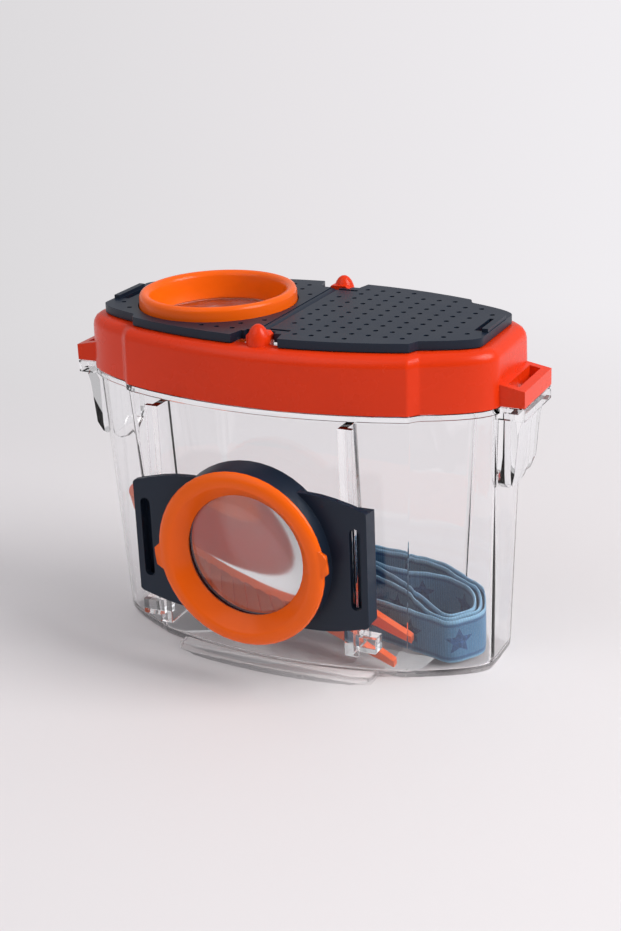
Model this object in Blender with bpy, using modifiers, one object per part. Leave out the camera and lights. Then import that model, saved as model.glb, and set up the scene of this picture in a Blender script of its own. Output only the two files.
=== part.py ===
"""Insect observation box: a clear tub under an orange rim with two hinged flaps, a sliding magnifier on
rails, and tweezers and an elastic strap kept inside.

World frame: X along the box, the magnifier faces -Y, Z up, the tub's foot at Z 0. Metres.
"""
import math
from collections import namedtuple

import bmesh
import bpy
from mathutils import Matrix, Vector

MM = 0.001
GAP = 0.3 * MM
WELD = 0.001 * MM
OVERLAP = 1.0 * MM

# Plan outlines: a bowed front, an S step, a rounded corner and a flat end, mirrored both ways.
Oval = namedtuple("Oval", "half_length half_depth step_x step_run step_depth flat_half corner_slope")
RIM_OVAL = Oval(67.5 * MM, 36.7 * MM, 45.5 * MM, 3.8 * MM, 3.2 * MM, 11.0 * MM, 0.40)
FLAP_OVAL = Oval(62.4 * MM, 32.4 * MM, 44.8 * MM, 2.0 * MM, 3.5 * MM, 12.0 * MM, 0.34)
TUB_TOP_OVAL = Oval(66.3 * MM, 35.7 * MM, 45.2 * MM, 3.6 * MM, 3.2 * MM, 10.4 * MM, 0.42)
TUB_FOOT_OVAL = Oval(64.2 * MM, 30.2 * MM, 41.0 * MM, 4.0 * MM, 2.0 * MM, 7.0 * MM, 0.48)
BOW_RADIUS = 145.0 * MM
BOW_STEPS = 5
STEP_STEPS = 4
CORNER_STEPS = 7
STEP_INSET_SHARE = 0.3

# Tub
TUB_WALL = 1.5 * MM
TUB_FLOOR = 2.0 * MM
TUB_HEIGHT = 84.8 * MM
FLANGE_THICK = 1.7 * MM
FLANGE_TOP = TUB_HEIGHT + FLANGE_THICK
NECK_HEIGHT = 6.0 * MM
NECK_TOP = FLANGE_TOP + NECK_HEIGHT
NECK_INSET = 2.6 * MM
FOOT_FILLET = 2.2 * MM
FLOOR_FILLET = 1.8 * MM
FILLET_SHARES = ((0.0, 1.0), (0.3, 0.28), (1.0, 0.0))
LEDGE_HALF_LENGTH = 33.0 * MM
LEDGE_TOP = 2.6 * MM
LEDGE_FRONT = -35.3 * MM
LEDGE_STEP_X = 27.0 * MM
LEDGE_STEP_RUN = 2.4 * MM
LEDGE_STEP_DEPTH = 1.3 * MM
LEDGE_BACK = -20.0 * MM

# Rails for the magnifier and the blocks that stop it
RAIL_INNER = 29.3 * MM
RAIL_WEB = 2.4 * MM
RAIL_OUTER = 33.6 * MM
RAIL_FRONT = -39.9 * MM
RAIL_FLANGE = 1.6 * MM
RAIL_BACK = -24.0 * MM
RAIL_FOOT = 14.0 * MM
STOP_OUTER = 39.3 * MM
STOP_LOW = 16.0 * MM
STOP_TOP = 20.8 * MM
STOP_BACK = -35.0 * MM

# Strap lugs on the rim and on the tub, and the ear under each
LUG_REACH = 7.3 * MM
LUG_OUTER = RIM_OVAL.half_length + LUG_REACH
LUG_HALF = 12.1 * MM
LUG_SUNK = 3.6 * MM
LUG_ROOT = RIM_OVAL.half_length - LUG_SUNK
SLAB_DROP = 2.0 * MM
SLAB_LOW = TUB_HEIGHT - SLAB_DROP
SLAB_CHAMFER_DROP = 3.8 * MM
SLAB_CHAMFER_LOW = SLAB_LOW - SLAB_CHAMFER_DROP
SLAB_CHAMFER_RUN = 2.4 * MM
SLAB_CHAMFER_OUTER = LUG_OUTER - SLAB_CHAMFER_RUN
EAR_HALF = 10.0 * MM
EAR_SIDE_HEIGHT = 19.3 * MM
EAR_CORNER_Z = TUB_HEIGHT - EAR_SIDE_HEIGHT
EAR_ROUND_DROP = 6.9 * MM
EAR_LOW_Z = EAR_CORNER_Z - EAR_ROUND_DROP
EAR_TIP_RUN = 5.5 * MM
EAR_TIP_OUTER = LUG_OUTER - EAR_TIP_RUN
EAR_STEPS = 6
EAR_SLOT_INSET = 5.2 * MM
EAR_SLOT_WIDTH = 1.9 * MM
EAR_SLOT_OUT = LUG_OUTER - EAR_SLOT_INSET
EAR_SLOT_IN = EAR_SLOT_OUT - EAR_SLOT_WIDTH
EAR_SLOT_HALF = 8.2 * MM
LUG_SLOT_INSET = 2.5 * MM
LUG_SLOT_WIDTH = 3.3 * MM
LUG_SLOT_OUT = LUG_OUTER - LUG_SLOT_INSET
LUG_SLOT_IN = LUG_SLOT_OUT - LUG_SLOT_WIDTH
LUG_SLOT_HALF = 9.5 * MM
SLAB_SLOT_FLOOR = 1.5 * MM
SLAB_SLOT_LOW = SLAB_LOW + SLAB_SLOT_FLOOR

# Rim
RIM_LOW = FLANGE_TOP + GAP
RIM_HEIGHT = 17.2 * MM
RIM_TOP = RIM_LOW + RIM_HEIGHT
RIM_SKIN = 2.2 * MM
RIM_DECK = 2.4 * MM
RIM_CEILING = RIM_TOP - RIM_DECK
RIM_DRAFT = 0.35 * MM
RIM_FILLET = 3.8 * MM
RIM_FILLET_STEPS = 4
MOUTH_INSET = 7.2 * MM
RIM_LUG_LIFT = 0.1 * MM
RIM_LUG_LOW = RIM_LOW + RIM_LUG_LIFT
RIM_LUG_THICK = 5.0 * MM
RIM_LUG_TOP = RIM_LUG_LOW + RIM_LUG_THICK
RIM_LUG_RISE = 1.4 * MM
RIM_LUG_ROOT_TOP = RIM_LUG_TOP + RIM_LUG_RISE

# Hinge posts of the flaps
POST_X = 0.3 * MM
POST_Y = 29.7 * MM
POST_HALF_X = 3.5 * MM
POST_HALF_Y = 3.5 * MM
POST_RISE = 6.0 * MM
POST_TOP = RIM_TOP + POST_RISE
POST_SEGMENTS = 20
POST_RINGS = 12
SEAT_HALF_X = 3.3 * MM
SEAT_INNER = 26.0 * MM
SEAT_OUTER = 30.6 * MM
SEAT_LIFT = 0.1 * MM
SEAT_LOW = RIM_CEILING + SEAT_LIFT
SEAT_RISE = 3.4 * MM
SEAT_TOP = RIM_TOP + SEAT_RISE
SEAT_BEVEL = 0.9 * MM
PIN_REACH = 28.4 * MM
PIN_SIDES = 12
LEFT_AXIS_X = -1.9 * MM
LEFT_AXIS_RISE = 0.5 * MM
LEFT_AXIS_Z = RIM_TOP + LEFT_AXIS_RISE
LEFT_PIN_RADIUS = 0.85 * MM
RIGHT_AXIS_X = 1.6 * MM
RIGHT_AXIS_RISE = 2.0 * MM
RIGHT_AXIS_Z = RIM_TOP + RIGHT_AXIS_RISE
RIGHT_PIN_RADIUS = 0.7 * MM
BARREL_RADIUS = 2.2 * MM
BARREL_SIDES = 20

# Flaps
FLAP_LOW = RIM_TOP + GAP
FLAP_THICK = 2.6 * MM
FLAP_TOP = FLAP_LOW + FLAP_THICK
KNUCKLE_HALF = 25.6 * MM
LEFT_NOTCH_X = -6.6 * MM
LEFT_NOTCH_Y = 27.3 * MM
LEFT_ROOT_X = -5.4 * MM
LEFT_EDGE_X = -2.3 * MM
RIGHT_EDGE_X = 0.8 * MM
RIGHT_ROOT_X = 4.1 * MM
RIGHT_NOTCH_X = 6.6 * MM
RIGHT_NOTCH_Y = 27.4 * MM
EAR_ARM_X = 7.6 * MM
EAR_ARM_Y = 24.5 * MM
EAR_GAP_Y = 23.1 * MM
FLAP_FRONT_X = 7.6 * MM
AIR_PITCH = 5.2 * MM
AIR_RADIUS = 0.82 * MM
AIR_SIDES = 8
AIR_COLUMN_TURN = 8.3
AIR_ROW_TURN = 13.7
AIR_OFFSET_SHARE = -0.04
AIR_ROWS = {1: 3, 2: 5, 3: 5, 4: 5, 5: 5, 6: 4, 7: 4, 8: 4, 9: 3, 10: 3}
AIR_LAST_COLUMN = 11
AIR_LAST_ROWS = (-2, 2)
SCOOP_IN = 57.6 * MM
SCOOP_OUT = 60.0 * MM
SCOOP_HALF = 6.5 * MM
LIP_OUT = 62.2 * MM
LIP_HALF = 7.6 * MM
LIP_RISE = 1.1 * MM

# Lens ring in the left flap
LID_X = -29.0 * MM
LID_HOLE_RADIUS = 24.95 * MM
LID_HOLE_SIDES = 56
LID_RING_RADIUS = 24.6 * MM
LID_AIR_MARGIN = 1.7 * MM
LID_LENS_RADIUS = 21.4 * MM
LID_LENS_EDGE = 1.7 * MM
LID_LENS_BULGE = 1.5 * MM
LID_SEAT_DROP = 1.8 * MM
LID_SEAT_Z = RIM_TOP - LID_SEAT_DROP
TURN_STEPS = 48
LENS_STEPS = 40
LENS_RINGS = 4

# Magnifier on the rails
AXIS_Z = 43.3 * MM
WING_FRONT = -42.2 * MM
WING_BACK = RAIL_FRONT - GAP
WING_HALF = 38.4 * MM
WING_END_HEIGHT = 18.2 * MM
WING_MID_HEIGHT = 21.6 * MM
WING_MID_X = 19.0 * MM
WING_STEPS = 4
WING_CORNER = 0.7 * MM
END_WALL = 1.5 * MM
END_WALL_BACK = -36.2 * MM
LIP_INNER = 32.3 * MM
LIP_FRONT = RAIL_FRONT + RAIL_FLANGE + GAP
WINDOW_IN = 33.0 * MM
WINDOW_OUT = 36.3 * MM
WINDOW_LOW = 30.4 * MM
WINDOW_TOP = 56.0 * MM
WINDOW_STEPS = 6
BARREL_FRONT = -46.7 * MM
BARREL_BACK = -38.2 * MM
LENS_RADIUS = 21.4 * MM
LENS_MIDDLE = -41.85 * MM
LENS_EDGE = 2.4 * MM
LENS_BULGE = 2.0 * MM
BORE_RADIUS = 23.4 * MM
STOP_RING_RADIUS = 19.6 * MM
GROOVE_RADIUS = 24.6 * MM
GROOVE_FRONT = -45.8 * MM
GROOVE_BACK = -44.1 * MM
TAB_RADIUS = 24.2 * MM
TAB_HALF_ANGLE = 8.0
TAB_ANGLE = 96.0
ENTRY_ANGLE = 60.0
ENTRY_HALF_ANGLE = 11.0
BEZEL_BACK = -47.0 * MM
SPIGOT_RADIUS = 23.0 * MM
GRIP_ANGLE = 5.7
GRIP_HALF_ANGLE = 5.5
GRIP_ROOT_HALF_ANGLE = 9.5
GRIP_ROOT_RADIUS = 26.6 * MM
GRIP_RADIUS = 28.6 * MM
SECTOR_STEPS = 4
GRIP_FRONT = -48.2 * MM

# Tweezers, drawn lying along X with the heel at X 0, then leaned in the tub
ARM_LENGTH = 105.8 * MM
ARM_THICK = 1.7 * MM
ARM_BOW = 6.8 * MM
TIP_OFFSET = 4.8 * MM
HEEL_OFFSET = 2.6 * MM
HEEL_LENGTH = 9.0 * MM
ARM_STEPS = 10
ARM_WIDTH = 14.0 * MM
HEEL_WIDTH = 9.0 * MM
TIP_WIDTH = 4.2 * MM
WIDEST_SHARE = 0.45
GRIP_RIBS = 7
GRIP_RIB_FROM = 42.0 * MM
GRIP_RIB_PITCH = 3.2 * MM
GRIP_RIB_WIDTH = 1.1 * MM
GRIP_RIB_RISE = 0.3 * MM
HEEL_AT = Vector((-60.7, -6.9, 41.4)) * MM
TIPS_AT = Vector((38.7, -17.5, 7.0)) * MM
OPEN_TOWARDS = Vector((0.0, 0.82, 0.57))

# Elastic strap, wound flat in three loops and standing on its edge
STRAP_WIDTH = 14.6 * MM
STRAP_THICK = 1.0 * MM
STRAP_LOW = 2.6 * MM
STRAP_TILT = 3.4
STRAP_TILT_Y = -14.0 * MM
STRAP_MID_X = 20.0 * MM
STRAP_MID_Y = 5.0 * MM
STRAP_HALF_X = 40.0 * MM
STRAP_HALF_Y = 20.0 * MM
STRAP_POINTS_PER_STATION = 5
STRAP_LEAST_GAP = 0.4 * MM
# Stations go round from the left end along the front to the right end and back, one row per loop.
STRAP_LOOP_SHARES = (
    ((-0.80, 0.62), (-0.45, 0.62), (-0.10, 0.45), (0.25, 0.06), (0.52, -0.36), (0.70, -0.64),
     (0.81, -0.58), (0.885, -0.30), (0.785, 0.17), (0.595, 0.43), (0.40, 0.52), (0.10, 0.48),
     (-0.20, 0.62), (-0.55, 0.78), (-0.84, 0.80)),
    ((-0.94, 0.60), (-0.84, 0.42), (-0.45, 0.40), (-0.05, 0.16), (0.30, -0.16), (0.56, -0.62),
     (0.745, -0.77), (0.845, -0.62), (0.935, -0.315), (0.83, 0.24), (0.62, 0.515), (0.375, 0.83),
     (0.0, 0.99), (-0.45, 1.0), (-0.86, 0.98)),
    ((-1.02, 0.70), (-0.98, 0.10), (-0.78, -0.18), (-0.35, -0.42), (0.10, -0.56), (0.42, -0.70),
     (0.63, -0.80), (0.78, -0.87), (0.8875, -0.70), (0.98, -0.325), (0.8725, 0.285), (0.655, 0.59),
     (0.3925, 0.92), (0.0, 1.08), (-0.40, 1.12), (-0.72, 1.11)),
)

COLOURS = {
    "clear": ((0.93, 0.95, 0.96, 1.0), 0.06),
    "orange": ((0.95, 0.17, 0.01, 1.0), 0.32),
    "bright_orange": ((1.0, 0.24, 0.01, 1.0), 0.30),
    "navy": ((0.012, 0.045, 0.10, 1.0), 0.38),
    "lens": ((0.96, 0.96, 0.96, 1.0), 0.02),
    "elastic": ((0.10, 0.30, 0.52, 1.0), 0.85),
}


def clear_scene():
    for item in list(bpy.data.objects):
        bpy.data.objects.remove(item, do_unlink=True)


def new_collection(name):
    collection = bpy.data.collections.new(name)
    bpy.context.scene.collection.children.link(collection)
    return collection


def material(name):
    colour, roughness = COLOURS[name]
    made = bpy.data.materials.new(name)
    made.use_nodes = True
    shader = made.node_tree.nodes["Principled BSDF"]
    shader.inputs["Base Color"].default_value = colour
    shader.inputs["Roughness"].default_value = roughness
    shader.inputs["Metallic"].default_value = 0.0
    return made


def add_object(name, mesh):
    item = bpy.data.objects.new(name, mesh)
    PARTS.objects.link(item)
    return item


def evaluated_mesh(item):
    graph = bpy.context.evaluated_depsgraph_get()
    return bpy.data.meshes.new_from_object(item.evaluated_get(graph))


def weld(mesh):
    work = bmesh.new()
    work.from_mesh(mesh)
    bmesh.ops.remove_doubles(work, verts=work.verts, dist=WELD)
    bmesh.ops.recalc_face_normals(work, faces=work.faces)
    work.to_mesh(mesh)
    work.free()


# The way an outline's plane and its thickness lie in the world, for plates drawn flat.
FACING = {
    "z": Matrix.Identity(4),
    "y": Matrix(((1, 0, 0, 0), (0, 0, -1, 0), (0, 1, 0, 0), (0, 0, 0, 1))),
    "x": Matrix(((0, 0, 1, 0), (1, 0, 0, 0), (0, 1, 0, 0), (0, 0, 0, 1))),
}


def plate(name, outlines, low, high, facing="z"):
    """A flat outline, with the others cut out of it, from low to high along the facing axis."""
    curve = bpy.data.curves.new(name, "CURVE")
    curve.dimensions = "2D"
    curve.fill_mode = "BOTH"
    curve.extrude = (high - low) / 2
    for outline in outlines:
        spline = curve.splines.new("POLY")
        spline.points.add(len(outline) - 1)
        for point, (across, up) in zip(spline.points, outline):
            point.co = (across, up, 0, 1)
        spline.use_cyclic_u = True
    drawn = bpy.data.objects.new(name, curve)
    PARTS.objects.link(drawn)
    mesh = evaluated_mesh(drawn)
    bpy.data.objects.remove(drawn, do_unlink=True)
    bpy.data.curves.remove(curve)
    middle = (low + high) / 2
    if facing == "y":
        middle = -middle
    mesh.transform(FACING[facing] @ Matrix.Translation((0, 0, middle)))
    weld(mesh)
    mesh.name = name
    return add_object(name, mesh)


def loft(name, rings):
    """A solid through rings of equal point counts, each with its height, capped at both ends."""
    work = bmesh.new()
    rows = [[work.verts.new((x, y, z)) for x, y in outline] for outline, z in rings]
    for lower, upper in zip(rows, rows[1:]):
        for index in range(len(lower)):
            after = (index + 1) % len(lower)
            work.faces.new((lower[index], lower[after], upper[after], upper[index]))
    work.faces.new(rows[0])
    work.faces.new(rows[-1])
    bmesh.ops.recalc_face_normals(work, faces=work.faces)
    mesh = bpy.data.meshes.new(name)
    work.to_mesh(mesh)
    work.free()
    return add_object(name, mesh)


def box(name, low, high):
    work = bmesh.new()
    bmesh.ops.create_cube(work, size=1.0)
    low, high = Vector(low), Vector(high)
    size = Matrix.Diagonal((*(high - low), 1))
    bmesh.ops.transform(work, matrix=Matrix.Translation((low + high) / 2) @ size, verts=work.verts)
    mesh = bpy.data.meshes.new(name)
    work.to_mesh(mesh)
    work.free()
    return add_object(name, mesh)


def rod(name, start, end, radius, sides):
    """A round bar between two points."""
    start, end = Vector(start), Vector(end)
    along = end - start
    work = bmesh.new()
    bmesh.ops.create_cone(work, cap_ends=True, segments=sides, radius1=radius, radius2=radius,
                          depth=along.length)
    turned_to = along.to_track_quat("Z", "Y").to_matrix().to_4x4()
    bmesh.ops.transform(work, matrix=Matrix.Translation((start + end) / 2) @ turned_to, verts=work.verts)
    mesh = bpy.data.meshes.new(name)
    work.to_mesh(mesh)
    work.free()
    return add_object(name, mesh)


def turned(name, profile, centre, facing="z", steps=TURN_STEPS, closed=True):
    """A profile of radius and height turned about the facing axis through centre."""
    mesh = bpy.data.meshes.new(name)
    edges = [(index, index + 1) for index in range(len(profile) - 1)]
    if closed:
        edges.append((len(profile) - 1, 0))
    mesh.from_pydata([(radius, 0, height) for radius, height in profile], edges, [])
    raw = add_object(name, mesh)
    screw = raw.modifiers.new("turn", "SCREW")
    screw.steps = steps
    screw.render_steps = steps
    screw.use_merge_vertices = True
    screw.merge_threshold = WELD
    solid = evaluated_mesh(raw)
    bpy.data.objects.remove(raw, do_unlink=True)
    bpy.data.meshes.remove(mesh)
    turned_to = Matrix.Rotation(math.radians(90), 4, "X") if facing == "y" else Matrix.Identity(4)
    solid.transform(Matrix.Translation(centre) @ turned_to)
    weld(solid)
    solid.name = name
    return add_object(name, solid)


def combine(target, tool, operation):
    """Adds an exact Boolean and puts the tool away with the cutters."""
    PARTS.objects.unlink(tool)
    CUTTERS.objects.link(tool)
    tool.hide_render = True
    tool.display_type = "WIRE"
    boolean = target.modifiers.new(tool.name, "BOOLEAN")
    boolean.operation = operation
    boolean.solver = "EXACT"
    boolean.object = tool


def join(target, tool):
    combine(target, tool, "UNION")


def cut(target, tool):
    combine(target, tool, "DIFFERENCE")


def finish(item, material_name, origin=None, smooth=False):
    """Gives a piece its material, its origin on its joint axis, and its shading."""
    item.data.materials.clear()
    item.data.materials.append(MATERIALS[material_name])
    if origin is not None:
        item.data.transform(Matrix.Translation(-Vector(origin)))
        item.location = origin
    if smooth:
        for face in item.data.polygons:
            face.use_smooth = True
    return item


def mix(first, second, share):
    return first + (second - first) * share


def mix_ovals(first, second, share):
    return Oval(*(mix(one, two, share) for one, two in zip(first, second)))


def shrunk(oval, inset):
    return oval._replace(half_length=oval.half_length - inset, half_depth=oval.half_depth - inset,
                         step_x=oval.step_x - inset * STEP_INSET_SHARE)


def quarter(oval, start_x=0.0):
    """The outline from the front, at start_x, to the right end."""
    bow_radius = BOW_RADIUS - RIM_OVAL.half_depth + oval.half_depth
    bow_centre = bow_radius - oval.half_depth

    def bow(x):
        return bow_centre - math.sqrt(bow_radius ** 2 - x ** 2)

    points = []
    for step in range(BOW_STEPS + 1):
        x = mix(start_x, oval.step_x, step / BOW_STEPS)
        points.append((x, bow(x)))
    step_y = points[-1][1]
    for step in range(1, STEP_STEPS + 1):
        share = step / STEP_STEPS
        smooth = share * share * (3 - 2 * share)
        points.append((oval.step_x + oval.step_run * share, step_y + oval.step_depth * smooth))
    corner_x, corner_y = points[-1]
    bend_y = corner_y + oval.corner_slope * (oval.half_length - corner_x)
    for step in range(1, CORNER_STEPS + 1):
        share = step / CORNER_STEPS
        x = mix(mix(corner_x, oval.half_length, share), oval.half_length, share)
        y = mix(mix(corner_y, bend_y, share), mix(bend_y, -oval.flat_half, share), share)
        points.append((x, y))
    return points


def outline_of(oval):
    front_right = quarter(oval)
    back_right = [(x, -y) for x, y in reversed(front_right)]
    right = front_right + back_right
    left = [(-x, y) for x, y in reversed(right[1:-1])]
    return right + left


def arc(centre, radius, start, end, steps):
    """Points on an arc, both ends included; the angles are in degrees."""
    points = []
    for step in range(steps + 1):
        angle = math.radians(mix(start, end, step / steps))
        points.append((centre[0] + radius * math.cos(angle), centre[1] + radius * math.sin(angle)))
    return points


def circle(centre, radius, sides, first_angle=0.0):
    return arc(centre, radius, first_angle, first_angle + 360 * (sides - 1) / sides, sides - 1)


def tub_oval(height):
    return mix_ovals(TUB_FOOT_OVAL, TUB_TOP_OVAL, height / TUB_HEIGHT)


def tub_blank():
    rings = []
    for rise_share, inset_share in FILLET_SHARES:
        height = FOOT_FILLET * rise_share
        rings.append((outline_of(shrunk(tub_oval(height), FOOT_FILLET * inset_share)), height))
    rings.append((outline_of(TUB_TOP_OVAL), TUB_HEIGHT))
    rings.append((outline_of(RIM_OVAL), TUB_HEIGHT))
    rings.append((outline_of(RIM_OVAL), FLANGE_TOP))
    neck = outline_of(shrunk(RIM_OVAL, NECK_INSET))
    rings.append((neck, FLANGE_TOP))
    rings.append((neck, NECK_TOP))
    return loft("tub", rings)


def tub_hollow():
    rings = []
    for rise_share, inset_share in FILLET_SHARES:
        height = TUB_FLOOR + FLOOR_FILLET * rise_share
        inset = TUB_WALL + FLOOR_FILLET * inset_share
        rings.append((outline_of(shrunk(tub_oval(height), inset)), height))
    shoulder = TUB_HEIGHT - OVERLAP
    rings.append((outline_of(shrunk(tub_oval(shoulder), TUB_WALL)), shoulder))
    neck = outline_of(shrunk(RIM_OVAL, NECK_INSET + TUB_WALL))
    rings.append((neck, FLANGE_TOP))
    rings.append((neck, NECK_TOP + OVERLAP))
    return loft("tub_hollow", rings)


def rail(side):
    """An L rail: a web from the wall and a flange that turns outwards, for the magnifier to grip."""
    points = [(RAIL_INNER, RAIL_BACK), (RAIL_INNER, RAIL_FRONT), (RAIL_OUTER, RAIL_FRONT),
              (RAIL_OUTER, RAIL_FRONT + RAIL_FLANGE), (RAIL_INNER + RAIL_WEB, RAIL_FRONT + RAIL_FLANGE),
              (RAIL_INNER + RAIL_WEB, RAIL_BACK)]
    return plate("rail", [[(side * x, y) for x, y in points]], RAIL_FOOT, TUB_HEIGHT + GAP / 2)


def foot_ledge():
    """The low shelf under the rails, with a step near each end."""
    ledge = RIM_OVAL._replace(half_length=LEDGE_HALF_LENGTH, half_depth=-LEDGE_FRONT, step_x=LEDGE_STEP_X,
                              step_run=LEDGE_STEP_RUN, step_depth=LEDGE_STEP_DEPTH)
    right = [point for point in quarter(ledge) if point[0] <= LEDGE_STEP_X + LEDGE_STEP_RUN]
    right.append((LEDGE_HALF_LENGTH, right[-1][1] + OVERLAP))
    right.append((LEDGE_HALF_LENGTH, LEDGE_BACK))
    left = [(-x, y) for x, y in reversed(right[1:])]
    return plate("foot_ledge", [right + left], 0.0, LEDGE_TOP)


def stop_block(side):
    low_x, high_x = sorted((side * (RAIL_OUTER - OVERLAP), side * STOP_OUTER))
    return box("stop_block", (low_x, RAIL_FRONT, STOP_LOW), (high_x, STOP_BACK, STOP_TOP))


def ear(side):
    """The clear lug under the rim's lug, with the rounded ear that hangs from it."""
    slab = [(LUG_ROOT, SLAB_LOW), (LUG_OUTER, SLAB_LOW), (LUG_OUTER, FLANGE_TOP), (LUG_ROOT, FLANGE_TOP)]
    slab_piece = plate("slab", [[(side * x, z) for x, z in slab]], -LUG_HALF, LUG_HALF, "y")
    side_view = [(LUG_ROOT, EAR_LOW_Z - OVERLAP), (EAR_TIP_OUTER - OVERLAP, EAR_LOW_Z - OVERLAP),
                 (EAR_TIP_OUTER, EAR_LOW_Z + OVERLAP), (EAR_SLOT_OUT + TUB_WALL, EAR_CORNER_Z),
                 (SLAB_CHAMFER_OUTER, SLAB_CHAMFER_LOW), (LUG_OUTER - OVERLAP, SLAB_LOW + OVERLAP),
                 (LUG_ROOT, SLAB_LOW + OVERLAP)]
    ear_piece = plate("ear", [[(side * x, z) for x, z in side_view]], -EAR_HALF, EAR_HALF, "y")
    low_x, high_x = sorted((side * (LUG_ROOT - OVERLAP), side * (LUG_OUTER + OVERLAP)))
    bottom = []
    for step in range(EAR_STEPS + 1):
        angle = math.pi * step / EAR_STEPS
        drop = (EAR_CORNER_Z - EAR_LOW_Z) * math.sin(angle)
        bottom.append((-EAR_HALF * math.cos(angle), EAR_CORNER_Z - drop))
    face = bottom + [(EAR_HALF, TUB_HEIGHT), (-EAR_HALF, TUB_HEIGHT)]
    trim = plate("ear_outline", [face], low_x, high_x, "x")
    combine(ear_piece, trim, "INTERSECT")
    return slab_piece, ear_piece


def strap_slots(side):
    """The slot down behind the ear, and the wider mouth of it in the lug."""
    low_x, high_x = sorted((side * EAR_SLOT_IN, side * EAR_SLOT_OUT))
    deep = box("ear_slot", (low_x, -EAR_SLOT_HALF, EAR_LOW_Z - OVERLAP),
               (high_x, EAR_SLOT_HALF, FLANGE_TOP + OVERLAP))
    low_x, high_x = sorted((side * EAR_SLOT_IN, side * LUG_SLOT_OUT))
    mouth = box("slab_slot", (low_x, -LUG_SLOT_HALF, SLAB_SLOT_LOW),
                (high_x, LUG_SLOT_HALF, FLANGE_TOP + OVERLAP))
    return deep, mouth


def make_tub():
    tub = tub_blank()
    join(tub, foot_ledge())
    for side in (1, -1):
        join(tub, rail(side))
        join(tub, stop_block(side))
        for piece in ear(side):
            join(tub, piece)
        for slot in strap_slots(side):
            cut(tub, slot)
    cut(tub, tub_hollow())
    return finish(tub, "clear")


def rim_blank():
    fillet_low = RIM_TOP - RIM_FILLET
    rings = [(outline_of(RIM_OVAL), RIM_LOW)]
    for step in range(RIM_FILLET_STEPS + 1):
        angle = math.radians(90) * step / RIM_FILLET_STEPS
        inset = RIM_DRAFT + RIM_FILLET * (1 - math.cos(angle))
        rings.append((outline_of(shrunk(RIM_OVAL, inset)), fillet_low + RIM_FILLET * math.sin(angle)))
    return loft("rim", rings)


def rim_lug(side):
    points = [(LUG_ROOT, RIM_LUG_LOW), (LUG_OUTER, RIM_LUG_LOW), (LUG_OUTER, RIM_LUG_TOP),
              (RIM_OVAL.half_length, RIM_LUG_ROOT_TOP), (LUG_ROOT, RIM_LUG_ROOT_TOP)]
    return plate("rim_lug", [[(side * x, z) for x, z in points]], -LUG_HALF, LUG_HALF, "y")


def rim_lug_slot(side):
    low_x, high_x = sorted((side * LUG_SLOT_IN, side * LUG_SLOT_OUT))
    return box("rim_lug_slot", (low_x, -LUG_SLOT_HALF, RIM_LOW - OVERLAP),
               (high_x, LUG_SLOT_HALF, RIM_LUG_ROOT_TOP + OVERLAP))


def post_dome(side):
    work = bmesh.new()
    bmesh.ops.create_uvsphere(work, u_segments=POST_SEGMENTS, v_segments=POST_RINGS, radius=1.0)
    size = Matrix.Diagonal((POST_HALF_X, POST_HALF_Y, POST_TOP - RIM_TOP + GAP, 1))
    place = Matrix.Translation((POST_X, side * POST_Y, RIM_TOP - GAP))
    bmesh.ops.transform(work, matrix=place @ size, verts=work.verts)
    mesh = bpy.data.meshes.new("post_dome")
    work.to_mesh(mesh)
    work.free()
    return add_object("post_dome", mesh)


def post_seat(side):
    """The block inside the dome that holds the two flaps' pins."""
    high_y = SEAT_TOP - SEAT_BEVEL
    points = [(-SEAT_HALF_X, SEAT_LOW), (SEAT_HALF_X, SEAT_LOW), (SEAT_HALF_X, high_y),
              (SEAT_HALF_X - SEAT_BEVEL, SEAT_TOP), (-SEAT_HALF_X + SEAT_BEVEL, SEAT_TOP),
              (-SEAT_HALF_X, high_y)]
    low, high = sorted((side * SEAT_INNER, side * SEAT_OUTER))
    return plate("post_seat", [points], low, high, "y")


def pin_hole(side, axis_x, axis_z, radius):
    return rod("pin_hole", (axis_x, side * (SEAT_INNER - OVERLAP), axis_z),
               (axis_x, side * (PIN_REACH + GAP), axis_z), radius + GAP, PIN_SIDES)


def make_rim():
    rim = rim_blank()
    for side in (1, -1):
        join(rim, rim_lug(side))
        cut(rim, rim_lug_slot(side))
    socket = outline_of(shrunk(RIM_OVAL, RIM_SKIN))
    cut(rim, plate("rim_socket", [socket], RIM_LOW - OVERLAP, RIM_CEILING))
    mouth = outline_of(shrunk(RIM_OVAL, MOUTH_INSET))
    cut(rim, plate("rim_mouth", [mouth], RIM_CEILING - OVERLAP, RIM_TOP + OVERLAP))
    for side in (1, -1):
        join(rim, post_seat(side))
        join(rim, post_dome(side))
        cut(rim, pin_hole(side, LEFT_AXIS_X, LEFT_AXIS_Z, LEFT_PIN_RADIUS))
        cut(rim, pin_hole(side, RIGHT_AXIS_X, RIGHT_AXIS_Z, RIGHT_PIN_RADIUS))
    return finish(rim, "orange")


def air_holes(side, keep):
    """The grid of air holes; each is turned a little, so that no three corners lie in one line."""
    holes = []
    for column in range(1, AIR_LAST_COLUMN + 1):
        rows = AIR_LAST_ROWS if column == AIR_LAST_COLUMN else range(-AIR_ROWS[column],
                                                                     AIR_ROWS[column] + 1)
        for row in rows:
            centre = (side * (column + AIR_OFFSET_SHARE) * AIR_PITCH, row * AIR_PITCH)
            if keep(centre):
                turn = AIR_COLUMN_TURN * column + AIR_ROW_TURN * row
                holes.append(circle(centre, AIR_RADIUS, AIR_SIDES, turn))
    return holes


def flap_edge(side):
    """The outer edge of a flap from its front inner corner round its end to the back one."""
    front = quarter(FLAP_OVAL, FLAP_FRONT_X)
    whole = front + [(x, -y) for x, y in reversed(front)]
    return [(side * x, y) for x, y in whole]


def clear_of_lid(centre):
    away = math.hypot(centre[0] - LID_X, centre[1])
    return away > LID_HOLE_RADIUS + LID_AIR_MARGIN


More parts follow.
